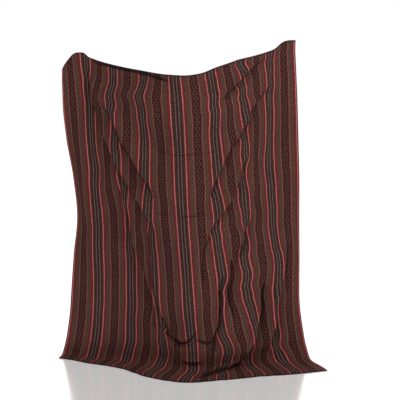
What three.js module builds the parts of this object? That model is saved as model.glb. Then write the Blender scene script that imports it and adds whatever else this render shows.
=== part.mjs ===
// A striped cotton blanket that hangs from its top edge, with its foot lying forward on the floor.
// One woven length of cloth, in millimetres, +Z up, its face towards -Y.
// The origin is the middle of the top edge, where the cloth is held.
import * as THREE from "three";

// The cloth
const WIDTH = 1500; // from selvedge to selvedge, laid flat
const THICKNESS = 2;
const MIDDLE = 750; // the warp line halfway across

// How finely it is built
const COLUMNS = 56;
const HANGING_ROWS = 43;
const FLOOR_ROWS = 8;
const ROW_EASE = 1.25; // over 1 crowds the hanging rows towards the floor
const SAMPLES_PER_COLUMN = 6;

// How it turns from hanging to lying
const BEND_RADIUS = 22;
const LEAST_RUN = 0.14; // a steep fold still takes up this share of its own width across

// Height of the top edge above the floor, at places along the cloth. It is lifted near the left
// end and at the right end, and it dips in the middle.
const TOP_EDGE = [
  { along: 0, height: 1606 },
  { along: 31, height: 1634 },
  { along: 68, height: 1664 },
  { along: 103, height: 1690 },
  { along: 119, height: 1697 },
  { along: 145, height: 1699 },
  { along: 200, height: 1670 },
  { along: 330, height: 1634 },
  { along: 530, height: 1592 },
  { along: 720, height: 1561 },
  { along: 800, height: 1556 },
  { along: 880, height: 1566 },
  { along: 980, height: 1600 },
  { along: 1100, height: 1636 },
  { along: 1300, height: 1688 },
  { along: 1350, height: 1704 },
  { along: 1440, height: 1752 },
  { along: 1470, height: 1757 },
  { along: 1500, height: 1758 },
];

// Level sections through the cloth. First where its left edge, its middle warp line and its right
// edge are across, and then how far back it lies at nine places along it. The last row is where it
// meets the floor.
const PLACES = { left: 0, a: 170, b: 363, c: 556, d: 750, e: 943, f: 1136, g: 1330, right: 1500 };
const SECTIONS = [
  { height: 1700, across: [-748, -132, 514],
    left: 300, a: 325, b: 225, c: 112, d: 10, e: 45, f: 110, g: 205, right: 265 },
  { height: 1540, across: [-758, -128, 526],
    left: 315, a: 328, b: 225, c: 120, d: 15, e: 40, f: 110, g: 215, right: 280 },
  { height: 1440, across: [-758, -119, 533],
    left: 320, a: 297, b: 182, c: 75, d: 10, e: 30, f: 125, g: 245, right: 290 },
  { height: 1230, across: [-741, -108, 542],
    left: 320, a: 270, b: 165, c: 75, d: 0, e: 45, f: 145, g: 270, right: 290 },
  { height: 1020, across: [-709, -101, 552],
    left: 325, a: 245, b: 150, c: 50, d: 0, e: 40, f: 145, g: 260, right: 300 },
  { height: 800, across: [-690, -90, 557],
    left: 320, a: 240, b: 190, c: 60, d: 0, e: 35, f: 135, g: 250, right: 315 },
  { height: 580, across: [-708, -74, 559],
    left: 285, a: 225, b: 175, c: 80, d: 0, e: 30, f: 110, g: 200, right: 290 },
  { height: 360, across: [-719, -59, 556],
    left: 250, a: 220, b: 175, c: 85, d: 0, e: 30, f: 100, g: 175, right: 250 },
  { height: 130, across: [-749, -41, 582],
    left: 250, a: 225, b: 175, c: 100, d: 0, e: 40, f: 90, g: 170, right: 220 },
  { height: 0, across: [-785, -34, 616],
    left: 290, a: 255, b: 205, c: 130, d: 50, e: 90, f: 150, g: 170, right: 230 },
];

// The hem on the floor: where the same three lines are across, and how far back it lies at the same
// nine places. Minus is forward of the middle.
const HEM = {
  across: [-795, -83, 681],
  left: 236, a: 155, b: 70, c: -60, d: -140, e: -108, f: -58, g: -18, right: 33,
};

// Folds, each along a line down the cloth. A "ridge" stands out or back by its relief. A "step"
// goes from one side of the cloth's face to the other across its line. Reach is how far either
// side it dies out, turn how sharply a step turns, and fade how softly its ends begin.
// In each path, height is above the floor, and below zero it runs out along the lying foot.
// Relief is how far the cloth is pushed back, and minus is out towards the front.
const FOLDS = [
  {
    name: "left edge roll", shape: "ridge", reach: 60, turn: 32, fade: 200,
    path: [[100, 1300, -14], [105, 800, -18]],
  },
  {
    name: "long left swag", shape: "step", reach: 60, turn: 32, fade: 120,
    path: [
      [190, 1580, -12], [212, 1458, -18], [255, 1278, -20],
      [300, 1180, -22], [336, 1100, -22], [560, 788, -18],
    ],
  },
  {
    name: "inner left swag", shape: "step", reach: 60, turn: 32, fade: 120,
    path: [[330, 1390, -16], [398, 1254, -18], [470, 1125, -18], [580, 970, -18]],
  },
  {
    name: "low left crease", shape: "step", reach: 60, turn: 32, fade: 120,
    path: [[350, 930, -12], [388, 709, -14], [465, 506, -18], [510, 341, -18], [523, 254, -16]],
  },
  {
    name: "low inner crease", shape: "step", reach: 50, turn: 32, fade: 100,
    path: [[545, 720, -10], [545, 500, -13], [555, 372, -16], [610, 215, -16], [670, 160, -12]],
  },
  {
    name: "right shoulder", shape: "step", reach: 60, turn: 32, fade: 150,
    path: [[1330, 1600, 9], [1330, 1150, 9]],
  },
  {
    name: "upper right swag", shape: "step", reach: 60, turn: 32, fade: 80,
    path: [[1230, 1626, 16], [1128, 1546, 18], [1020, 1463, 16]],
  },
  {
    name: "long right swag", shape: "step", reach: 55, turn: 32, fade: 120,
    path: [
      [1262, 1466, 16], [1192, 1382, 18], [1135, 1298, 18],
      [1040, 1190, 18], [978, 1086, 18], [900, 950, 14],
    ],
  },
  {
    name: "lower right swag", shape: "step", reach: 55, turn: 32, fade: 120,
    path: [
      [1140, 1123, 16], [1090, 988, 18], [995, 870, 18],
      [920, 790, 14], [840, 640, 12], [820, 520, 10],
    ],
  },
  {
    name: "upper right dip", shape: "ridge", reach: 30, turn: 32, fade: 100,
    path: [[1229, 1240, 10], [1229, 1120, 10]],
  },
  {
    name: "middle right dip", shape: "ridge", reach: 30, turn: 32, fade: 100,
    path: [[1222, 960, 10], [1222, 860, 10]],
  },
  {
    name: "wide right valley", shape: "ridge", reach: 54, turn: 32, fade: 120,
    path: [[1170, 770, 28], [1110, 660, 30], [1045, 560, 34], [1030, 330, 34]],
  },
  {
    name: "narrow right valley", shape: "ridge", reach: 34, turn: 32, fade: 120,
    path: [[945, 470, 22], [943, 357, 24], [930, 252, 24], [885, 178, 20], [870, 120, 14]],
  },
  {
    name: "outer foot pleat", shape: "step", reach: 60, turn: 30, fade: 80,
    path: [
      [1400, 640, 4], [1385, 502, 14], [1345, 353, 26],
      [1325, 221, 36], [1285, 150, 42], [1260, 100, 36],
    ],
  },
  {
    name: "main foot pleat", shape: "step", reach: 60, turn: 30, fade: 80,
    path: [
      [1225, 420, 22], [1215, 340, 32], [1155, 188, 44], [1100, 104, 48],
      [1050, 22, 44], [980, -30, 38], [909, -72, 28], [830, -112, 18],
    ],
  },
];

// Sagging folds, where the cloth stands out above a line and sinks in below it. Height is the
// lowest point of the line, and sag is how much higher the line is at halfLength to either side.
const SWAGS = [
  { name: "neck swag", along: 755, height: 1250, halfLength: 270, halfHeight: 95, sag: 80, relief: 24 },
  { name: "waist swag", along: 755, height: 870, halfLength: 170, halfHeight: 60, sag: 50, relief: 9 },
  { name: "low swag", along: 700, height: 270, halfLength: 160, halfHeight: 85, sag: 50, relief: 26 },
  { name: "left foot tuck", along: 700, height: 150, halfLength: 100, halfHeight: 14, sag: 60, relief: 15 },
  { name: "right foot tuck", along: 835, height: 164, halfLength: 55, halfHeight: 14, sag: 14, relief: 14 },
  { name: "lower foot tuck", along: 745, height: 40, halfLength: 48, halfHeight: 12, sag: 6, relief: 12 },
];

/** The cubic through points (xs, ys) with the given slopes, held level past its ends. */
function cubic(xs, ys, slopes) {
  return (x) => {
    const held = THREE.MathUtils.clamp(x, xs[0], xs.at(-1));
    const i = Math.max(0, xs.findIndex((edge, k) => k > 0 && held <= edge) - 1);
    const step = xs[i + 1] - xs[i];
    const q = (held - xs[i]) / step;
    return (
      ys[i] * (1 + 2 * q) * (1 - q) ** 2 +
      slopes[i] * step * q * (1 - q) ** 2 +
      ys[i + 1] * q * q * (3 - 2 * q) +
      slopes[i + 1] * step * q * q * (q - 1)
    );
  };
}

/** A smooth curve through a table that never overshoots its rows. */
function steadyCurve(xs, ys) {
  const steps = xs.slice(1).map((x, i) => x - xs[i]);
  const rises = steps.map((step, i) => (ys[i + 1] - ys[i]) / step);
  const slopes = xs.map((x, i) => {
    if (i === 0) return rises[0];
    if (i === xs.length - 1) return rises[i - 1];
    if (rises[i - 1] * rises[i] <= 0) return 0;
    const before = (2 * steps[i] + steps[i - 1]) / rises[i - 1];
    const after = (steps[i] + 2 * steps[i - 1]) / rises[i];
    return (3 * (steps[i - 1] + steps[i])) / (before + after);
  });
  return cubic(xs, ys, slopes);
}

/** A rounder curve through a table, as a limp cloth bends between its folds. */
function roundCurve(xs, ys) {
  const steps = xs.slice(1).map((x, i) => x - xs[i]);
  const rises = steps.map((step, i) => (ys[i + 1] - ys[i]) / step);
  const slopes = xs.map((x, i) => {
    if (i === 0) return rises[0];
    if (i === xs.length - 1) return rises[i - 1];
    return (rises[i] * steps[i - 1] + rises[i - 1] * steps[i]) / (steps[i] + steps[i - 1]);
  });
  return cubic(xs, ys, slopes);
}

const column = (rows, key) => rows.map((row) => row[key]);
const upwards = [...SECTIONS].reverse();
const placeNames = Object.keys(PLACES);
const placesAlong = Object.values(PLACES);

const topEdge = steadyCurve(column(TOP_EDGE, "along"), column(TOP_EDGE, "height"));
const acrossCurves = [0, 1, 2].map((k) =>
  steadyCurve(column(upwards, "height"), upwards.map((section) => section.across[k])),
);
const depthCurves = placeNames.map((name) => steadyCurve(column(upwards, "height"), column(upwards, name)));
const hemDepth = roundCurve(placesAlong, placeNames.map((name) => HEM[name]));

/** How far back the cloth's broad form lies at a place along it and a height. */
function broadDepth(along, height) {
  return roundCurve(placesAlong, depthCurves.map((curve) => curve(height)))(along);
}

const foldLines = FOLDS.map((fold) => {
  const points = [...fold.path].reverse();
  const heights = points.map((point) => point[1]);
  const alongs = points.map((point) => point[0]);
  const last = points.length - 1;
  return {
    ...fold,
    low: heights[0],
    high: heights[last],
    along: steadyCurve(heights, alongs),
    relief: steadyCurve(heights, points.map((point) => point[2])),
    leanBelow: (alongs[1] - alongs[0]) / (heights[1] - heights[0]),
    leanAbove: (alongs[last] - alongs[last - 1]) / (heights[last] - heights[last - 1]),
  };
});

/** The relief of one fold at a place along the cloth and a height. */
function foldRelief(fold, along, height) {
  const ends =
    THREE.MathUtils.smoothstep((fold.high - height) / fold.fade + 0.5, 0, 1) *
    THREE.MathUtils.smoothstep((height - fold.low) / fold.fade + 0.5, 0, 1);
  const past =
    Math.max(0, height - fold.high) * fold.leanAbove + Math.min(0, height - fold.low) * fold.leanBelow;
  const off = along - fold.along(height) - past;
  const bell = Math.exp(-((off / fold.reach) ** 2));
  const side = fold.shape === "step" ? Math.tanh(off / fold.turn) : 1;
  return fold.relief(height) * ends * side * bell;
}

/** The relief of one swag: out above its line, in below it, and fading towards its two ends. */
function swagRelief(swag, along, height) {
  const share = (along - swag.along) / swag.halfLength;
  const q = (height - swag.height - swag.sag * share ** 2) / swag.halfHeight;
  return -swag.relief * Math.exp(-(share ** 4)) * q * Math.exp((1 - q * q) / 2);
}

/** How far the folds and swags push the cloth back from its broad form. */
function relief(along, height) {
  return (
    foldLines.reduce((sum, fold) => sum + foldRelief(fold, along, height), 0) +
    SWAGS.reduce((sum, swag) => sum + swagRelief(swag, along, height), 0)
  );
}

/**
 * One point of the cloth's middle surface, still without its place across.
 * Level runs from -1 at the top edge through 0 at the floor to 1 at the hem.
 */
function hang(along, level) {
  const floorLength = broadDepth(along, 0) - hemDepth(along);
  const path = level < 0 ? level * topEdge(along) : level * floorLength;
  const height = BEND_RADIUS * Math.log1p(Math.exp(-path / BEND_RADIUS));
  const lying = 1 / (1 + Math.exp(-path / BEND_RADIUS));
  const push = relief(along, -path);
  return {
    y: broadDepth(along, height) - (path + height) + (1 - lying) * push,
    z: Math.max(0, height - lying * push),
  };
}

/**
 * One row of the cloth at a level, as points at its columns. Each short piece of the row takes the
 * run across that is left after its rise and its depth. Then each half of the row is fitted between
 * the middle warp line and its own edge, as a limp cloth eases a little wider or narrower.
 */
function row(level) {
  const samples = COLUMNS * SAMPLES_PER_COLUMN;
  const step = WIDTH / samples;
  const points = Array.from({ length: samples + 1 }, (_, i) => hang(i * step, level));
  const run = [0];
  for (let i = 1; i <= samples; i++) {
    const slope = Math.hypot(points[i].y - points[i - 1].y, points[i].z - points[i - 1].z) / step;
    run.push(run[i - 1] + step * Math.sqrt(Math.max(LEAST_RUN ** 2, 1 - slope * slope)));
  }

  const middle = Math.round(MIDDLE / step);
  const onFloor = THREE.MathUtils.smoothstep(Math.max(0, level), 0, 1);
  const [left, centre, right] = [0, middle, samples].map(
    (i, k) => acrossCurves[k](points[i].z) + (HEM.across[k] - SECTIONS.at(-1).across[k]) * onFloor,
  );
  const leftShare = (centre - left) / run[middle];
  const rightShare = (right - centre) / (run[samples] - run[middle]);

  return Array.from({ length: COLUMNS + 1 }, (_, k) => {
    const i = k * SAMPLES_PER_COLUMN;
    const share = i < middle ? leftShare : rightShare;
    const across = centre + (run[i] - run[middle]) * share;
    return new THREE.Vector3(across, points[i].y, points[i].z + THICKNESS / 2);
  });
}

/** The rows of the cloth from its top edge to its hem. */
function rows() {
  const hanging = Array.from({ length: HANGING_ROWS + 1 }, (_, i) => -((1 - i / HANGING_ROWS) ** ROW_EASE));
  const lying = Array.from({ length: FLOOR_ROWS }, (_, i) => (i + 1) / FLOOR_ROWS);
  return [...hanging, ...lying].map(row);
}

/** The direction out of the cloth's face at a grid point. */
function faceNormal(grid, j, i) {
  const down = grid[Math.min(j + 1, grid.length - 1)][i].clone().sub(grid[Math.max(j - 1, 0)][i]);
  const along = grid[j][Math.min(i + 1, COLUMNS)].clone().sub(grid[j][Math.max(i - 1, 0)]);
  return down.cross(along).normalize();
}

/** The cloth as one closed sheet: its face, its back and the four edges between them. */
function blanketGeometry() {
  const grid = rows();
  const origin = grid[0][Math.round((MIDDLE / WIDTH) * COLUMNS)].clone();
  const perRow = COLUMNS + 1;
  const perSide = grid.length * perRow;
  const positions = [];
  for (const side of [1, -1]) {
    grid.forEach((points, j) =>
      points.forEach((point, i) => {
        const offset = faceNormal(grid, j, i).multiplyScalar((side * THICKNESS) / 2);
        const placed = point.clone().add(offset);
        placed.z = Math.max(placed.z, 0);
        positions.push(...placed.sub(origin).toArray());
      }),
    );
  }

  const faces = [];
  const quad = (a, b, c, d) => faces.push(a, b, c, a, c, d);
  for (let j = 0; j < grid.length - 1; j++) {
    for (let i = 0; i < COLUMNS; i++) {
      const a = j * perRow + i;
      const [b, c, d] = [a + perRow, a + perRow + 1, a + 1];
      const back = [a, d, c, b].map((index) => perSide + index);
      // Each patch is cut along its shorter diagonal, so that slanting folds stay smooth.
      if (grid[j][i].distanceTo(grid[j + 1][i + 1]) < grid[j + 1][i].distanceTo(grid[j][i + 1])) {
        quad(a, b, c, d);
        quad(...back);
      } else {
        quad(b, c, d, a);
        quad(back[1], back[2], back[3], back[0]);
      }
    }
    const left = j * perRow;
    const right = left + COLUMNS;
    quad(left, perSide + left, perSide + left + perRow, left + perRow);
    quad(right, right + perRow, perSide + right + perRow, perSide + right);
  }
  const hem = (grid.length - 1) * perRow;
  for (let i = 0; i < COLUMNS; i++) {
    quad(i, i + 1, perSide + i + 1, perSide + i);
    quad(hem + i, perSide + hem + i, perSide + hem + i + 1, hem + i + 1);
  }

  const geometry = new THREE.BufferGeometry();
  geometry.setAttribute("position", new THREE.Float32BufferAttribute(positions, 3));
  geometry.setIndex(faces);
  geometry.computeVertexNormals();
  return geometry;
}

const cotton = new THREE.MeshStandardMaterial({
  color: 0x54322d,
  roughness: 0.9,
  metalness: 0,
  side: THREE.DoubleSide,
});

const blanket = new THREE.Mesh(blanketGeometry(), cotton);
blanket.name = "blanket";

const part = new THREE.Group();
part.add(blanket);

export default part;
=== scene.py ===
"""A striped cotton blanket, hung from its top edge with its foot lying forward on the floor.

The cloth is one closed sheet. Its middle surface is worked out from the broad form in which it
hangs and from the folds that cross it, and its face and back stand off that surface by half the
thickness of the cloth. The stripes, diamonds and ladders are woven along the cloth's own length,
so they crowd together wherever a fold turns the cloth away. All lengths are in metres.
"""

import logging
import math
from dataclasses import dataclass
from enum import Enum

import bpy
import numpy as np
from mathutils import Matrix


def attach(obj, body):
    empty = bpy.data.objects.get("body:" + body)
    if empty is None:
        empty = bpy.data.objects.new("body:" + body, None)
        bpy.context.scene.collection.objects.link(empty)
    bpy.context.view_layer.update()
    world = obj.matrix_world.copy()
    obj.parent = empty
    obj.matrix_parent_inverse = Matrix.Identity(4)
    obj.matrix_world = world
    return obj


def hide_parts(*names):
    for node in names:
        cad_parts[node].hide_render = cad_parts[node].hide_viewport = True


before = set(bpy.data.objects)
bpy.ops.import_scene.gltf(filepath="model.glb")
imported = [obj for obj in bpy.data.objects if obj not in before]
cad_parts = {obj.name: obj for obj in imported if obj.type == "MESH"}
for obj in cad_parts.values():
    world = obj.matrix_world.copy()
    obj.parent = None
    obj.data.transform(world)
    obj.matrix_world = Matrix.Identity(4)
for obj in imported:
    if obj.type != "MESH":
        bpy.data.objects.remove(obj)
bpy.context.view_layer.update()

LOG = logging.getLogger("blanket")
MM = 0.001

# The trough at the foot of a pinched fold, which is down to a third of its depth at its width.
PINCH_DEPTH = 0.005
PINCH_WIDTH = 0.008

Socket = bpy.types.NodeSocket
Colour = tuple[float, float, float, float]
Value = float | Colour | Socket


def smooth(share: np.ndarray) -> np.ndarray:
    """Ease from 0 to 1 as a share goes from 0 to 1, level at both ends: 3 s^2 - 2 s^3."""
    held = np.clip(share, 0.0, 1.0)
    return held * held * (3.0 - 2.0 * held)


def unit(vectors: np.ndarray) -> np.ndarray:
    """Scale each vector of an array to a length of one."""
    return vectors / np.linalg.norm(vectors, axis=-1, keepdims=True)


def cubic(x: np.ndarray, xs: np.ndarray, ys: np.ndarray, slopes: np.ndarray) -> np.ndarray:
    """Follow the cubic through the points (xs, ys) with the given slopes, held level past its ends.

    Args:
        x: Where the curve is wanted.
        xs: The places of the points, growing.
        ys: One value a point, or one array of values shaped like x for each point.
        slopes: The slope at each point, shaped like ys.

    Returns:
        The curve's value at each place of x.
    """
    held = np.clip(x, xs[0], xs[-1])
    k = np.clip(np.searchsorted(xs, held, side="right") - 1, 0, len(xs) - 2)
    step = np.diff(xs)[k]
    q = (held - xs[k]) / step
    if ys.ndim == 1:
        start, end, leave, arrive = ys[k], ys[k + 1], slopes[k], slopes[k + 1]
    else:
        start, end = (np.take_along_axis(ys, (k + n)[None], 0)[0] for n in (0, 1))
        leave, arrive = (np.take_along_axis(slopes, (k + n)[None], 0)[0] for n in (0, 1))
    return (
        start * (1 + 2 * q) * (1 - q) ** 2
        + leave * step * q * (1 - q) ** 2
        + end * q * q * (3 - 2 * q)
        + arrive * step * q * q * (q - 1)
    )


def steady_curve(x: np.ndarray, xs: np.ndarray, ys: np.ndarray) -> np.ndarray:
    """Follow a smooth curve through a table that never overshoots its rows.

    The slope at a row is the weighted harmonic mean of the rises on its two sides, and zero where
    they differ in sign.

    Args:
        x: Where the curve is wanted.
        xs: The places of the rows, growing.
        ys: The value at each row.

    Returns:
        The curve's value at each place of x.
    """
    steps = np.diff(xs)
    rises = np.diff(ys) / steps
    slopes = np.zeros_like(ys)
    slopes[0], slopes[-1] = rises[0], rises[-1]
    agree = rises[:-1] * rises[1:] > 0
    before = np.where(agree, rises[:-1], 1.0)
    after = np.where(agree, rises[1:], 1.0)
    weight = (2 * steps[1:] + steps[:-1]) / before + (steps[1:] + 2 * steps[:-1]) / after
    slopes[1:-1] = np.where(agree, 3 * (steps[:-1] + steps[1:]) / np.where(agree, weight, 1.0), 0.0)
    return cubic(x, xs, ys, slopes)


def round_curve(x: np.ndarray, xs: np.ndarray, ys: np.ndarray) -> np.ndarray:
    """Follow a rounder curve through a table, as a limp cloth bends between its folds.

    The slope at a row is the mean of the rises on its two sides, each weighted by the other's step.

    Args:
        x: Where the curve is wanted.
        xs: The places of the rows, growing.
        ys: The value at each row, or an array of values shaped like x for each row.

    Returns:
        The curve's value at each place of x.
    """
    steps = np.diff(xs)
    if ys.ndim > 1:
        steps = steps.reshape(-1, *([1] * (ys.ndim - 1)))
    rises = np.diff(ys, axis=0) / steps
    inner = (rises[1:] * steps[:-1] + rises[:-1] * steps[1:]) / (steps[1:] + steps[:-1])
    slopes = np.concatenate([rises[:1], inner, rises[-1:]])
    return cubic(x, xs, ys, slopes)


class Shape(Enum):
    """How a fold stands off the cloth."""

    RIDGE = "it stands out, or sinks in, along its line"
    STEP = "it goes from one side of the face to the other across its line"


class Run(Enum):
    """Which way a fold's line runs over the cloth."""

    DOWN = "down the cloth"
    ACROSS = "across the cloth"


@dataclass(frozen=True)
class Fold:
    """One fold, along a line on the cloth.

    Attributes:
        name: What a maker would call it.
        shape: Ridge or step.
        path: Rows of along, height and relief. Height is above the floor, and below zero it runs
            out along the lying foot. Relief is how far the cloth is pushed back, and minus is out
            towards the front.
        reach: How far to either side of its line it dies out.
        fade: Over how much of its line each end begins.
        turn: How much cloth a step takes to turn over.
        pinch: How sharply the cloth is creased at the foot of the fold, from 0 up, and how dark
        the painted shade in that crease is. Past 1 it only deepens and widens the painted shade.
        run: Whether the path's rows go down the cloth or across it.
    """

    name: str
    shape: Shape
    path: tuple[tuple[float, float, float], ...]
    reach: float
    fade: float
    turn: float = 0.020
    pinch: float = 0.0
    run: Run = Run.DOWN

    def line(self, along: np.ndarray, height: np.ndarray) -> tuple[np.ndarray, np.ndarray, np.ndarray]:
        """Find each point's distance from the fold's line, straight across the way that it runs.

        Past its ends the line runs straight on, and the fold fades.

        Args:
            along: Place along the cloth's width.
            height: Height above the floor.

        Returns:
            The distance, the line's lean and the fold's push at each point.
        """
        key, other = (1, 0) if self.run is Run.DOWN else (0, 1)
        on, off = (height, along) if self.run is Run.DOWN else (along, height)
        rows = np.array(self.path)
        rows = rows[np.argsort(rows[:, key])]
        places, line, push = rows[:, key], rows[:, other], rows[:, 2]
        low, high = places[0], places[-1]
        lean_low = (line[1] - line[0]) / (places[1] - places[0])
        lean_high = (line[-1] - line[-2]) / (places[-1] - places[-2])
        past = np.maximum(on - high, 0) * lean_high + np.minimum(on - low, 0) * lean_low
        distance = off - steady_curve(on, places, line) - past
        lean = (steady_curve(on + MM, places, line) - steady_curve(on - MM, places, line)) / (2 * MM)
        ends = smooth((high - on) / self.fade + 0.5) * smooth((on - low) / self.fade + 0.5)
        return distance, lean, steady_curve(on, places, push) * ends

    def foot(self, push: np.ndarray) -> np.ndarray:
        """How far the foot of the fold lies from its line: on the side of a step that is further back."""
        return np.sign(push) * self.turn if self.shape is Shape.STEP else np.zeros_like(push)

    def relief(self, along: np.ndarray, height: np.ndarray) -> np.ndarray:
        """Work out how far this fold pushes the cloth back.

        Across the line it is push * exp(-(d / reach)^2), times tanh(d / turn) for a step, with d
        the distance from the line. A pinched foot is a narrow trough beside it.

        Args:
            along: Place along the cloth's width.
            height: Height above the floor.

        Returns:
            The relief at each point.
        """
        distance, _, push = self.line(along, height)
        bell = np.exp(-((distance / self.reach) ** 2))
        side = np.tanh(distance / self.turn) if self.shape is Shape.STEP else 1.0
        trough = np.exp(-(((distance - self.foot(push)) / PINCH_WIDTH) ** 2))
        share = np.minimum(np.abs(push) / PINCH_DEPTH, 1.0)
        return push * side * bell + min(self.pinch, 1.0) * PINCH_DEPTH * share * trough

    def crease(self, along: np.ndarray, height: np.ndarray) -> tuple[np.ndarray, np.ndarray]:
        """Find the crease at the fold's foot, for the shade painted into it.

        Args:
            along: Place along the cloth's width.
            height: Height above the floor.

        Returns:
            Each point's distance square to the crease, with a sign for its side, and its depth, which sets
            how dark the painted shade in the crease is.
        """
        distance, lean, push = self.line(along, height)
        square = (distance - self.foot(push)) / np.sqrt(1.0 + lean**2)
        return square, self.pinch * np.minimum(np.abs(push) / PINCH_DEPTH, 1.0)


@dataclass(frozen=True)
class Swag:
    """A sagging fold, where the cloth stands out above a line and sinks in below it.

    Attributes:
        name: What a maker would call it.
        along: Where its middle is along the cloth's width.
        height: How high the lowest point of its line is above the floor.
        half_length: How far it reaches to either side.
        half_height: How far above and below its line the cloth is pushed most.
        sag: How much higher its line is at half_length from its middle.
        push: How far the cloth is pushed out above and in below.
        pinch: How dark the painted shade in the crease under it is, from 0 up. It does not change the swag's
            relief.
    """

    name: str
    along: float
    height: float
    half_length: float
    half_height: float
    sag: float
    push: float
    pinch: float = 0.0

    def line(self, along: np.ndarray, height: np.ndarray) -> tuple[np.ndarray, np.ndarray]:
        """Give the height above the swag's parabola, and its strength exp(-(d / half length)^4) there."""
        share = (along - self.along) / self.half_length
        return height - self.height - self.sag * share**2, np.exp(-(share**4))

    def relief(self, along: np.ndarray, height: np.ndarray) -> np.ndarray:
        """Work out how far this swag pushes the cloth back.

        It is -push * q * exp((1 - q^2) / 2), with q the height off its line in half heights.

        Args:
            along: Place along the cloth's width.
            height: Height above the floor.

        Returns:
            The relief at each point.
        """
        above, strength = self.line(along, height)
        q = above / self.half_height
        return -self.push * strength * q * np.exp((1 - q * q) / 2)

    def crease(self, along: np.ndarray, height: np.ndarray) -> tuple[np.ndarray, np.ndarray]:
        """Give each point's distance from the crease under the swag, and the depth of the painted shade
        there.
        """
        above, strength = self.line(along, height)
        return above + self.half_height / 2, self.pinch * strength


@dataclass(frozen=True)
class Sway:
    """A place where the cloth is pulled a little to one side.

    Attributes:
        along: Where its middle is along the cloth's width.
        height: How high its middle is, and below zero how far out along the lying foot.
        half_width: How far along the cloth it reaches.
        half_height: How far up and down it reaches.
        push: How far the cloth is pulled to the right, and minus is to the left.
    """

    along: float
    height: float
    half_width: float
    half_height: float
    push: float

    def shift(self, along: np.ndarray, height: np.ndarray) -> np.ndarray:
        """Give push * exp(-(a^2 + h^2)), with a and h the offsets in half widths and half heights."""
        offset = ((along - self.along) / self.half_width) ** 2
        return self.push * np.exp(-offset - ((height - self.height) / self.half_height) ** 2)


# Height of the top edge above the floor, at places along the cloth: (along, height).
TOP_EDGE = (
    (0.000, 1.606),
    (0.031, 1.634),
    (0.068, 1.664),
    (0.103, 1.690),
    (0.119, 1.697),
    (0.145, 1.699),
    (0.200, 1.670),
    (0.330, 1.634),
    (0.530, 1.592),
    (0.720, 1.561),
    (0.800, 1.556),
    (0.880, 1.566),
    (0.980, 1.600),
    (1.100, 1.636),
    (1.300, 1.688),
    (1.350, 1.704),
    (1.440, 1.752),
    (1.470, 1.757),
    (1.500, 1.758),
)

# Nine places along the cloth: its left edge, the seven ladder bands a to g, and its right edge.
PLACES = (0.000, 0.170, 0.363, 0.556, 0.750, 0.943, 1.136, 1.330, 1.500)

# Level sections: height, then where the left edge, the middle and the right edge are across, then
# how far back the cloth lies at the nine places. The last row is where it meets the floor.
SECTIONS = (
    (1.70, (-0.748, -0.132, 0.514), (0.300, 0.325, 0.225, 0.112, 0.010, 0.045, 0.110, 0.205, 0.265)),
    (1.54, (-0.758, -0.128, 0.526), (0.315, 0.328, 0.225, 0.120, 0.015, 0.040, 0.110, 0.215, 0.280)),
    (1.44, (-0.758, -0.119, 0.533), (0.320, 0.297, 0.182, 0.075, 0.010, 0.030, 0.125, 0.245, 0.290)),
    (1.23, (-0.741, -0.108, 0.542), (0.320, 0.270, 0.165, 0.075, 0.000, 0.045, 0.145, 0.270, 0.290)),
    (1.02, (-0.709, -0.101, 0.552), (0.325, 0.245, 0.150, 0.050, 0.000, 0.040, 0.145, 0.260, 0.300)),
    (0.80, (-0.690, -0.090, 0.557), (0.320, 0.240, 0.190, 0.060, 0.000, 0.035, 0.135, 0.250, 0.315)),
    (0.58, (-0.708, -0.074, 0.559), (0.285, 0.225, 0.175, 0.080, 0.000, 0.030, 0.110, 0.200, 0.290)),
    (0.36, (-0.719, -0.059, 0.556), (0.250, 0.220, 0.175, 0.085, 0.000, 0.030, 0.100, 0.175, 0.250)),
    (0.13, (-0.749, -0.041, 0.582), (0.250, 0.225, 0.175, 0.100, 0.000, 0.040, 0.090, 0.170, 0.220)),
    (0.00, (-0.785, -0.034, 0.616), (0.290, 0.255, 0.205, 0.130, 0.050, 0.090, 0.150, 0.170, 0.230)),
)

# The hem on the floor, in the same two groups.
HEM_ACROSS = (-0.795, -0.083, 0.681)
HEM_DEPTH = (0.236, 0.155, 0.070, -0.060, -0.140, -0.108, -0.058, -0.018, 0.033)

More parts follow.
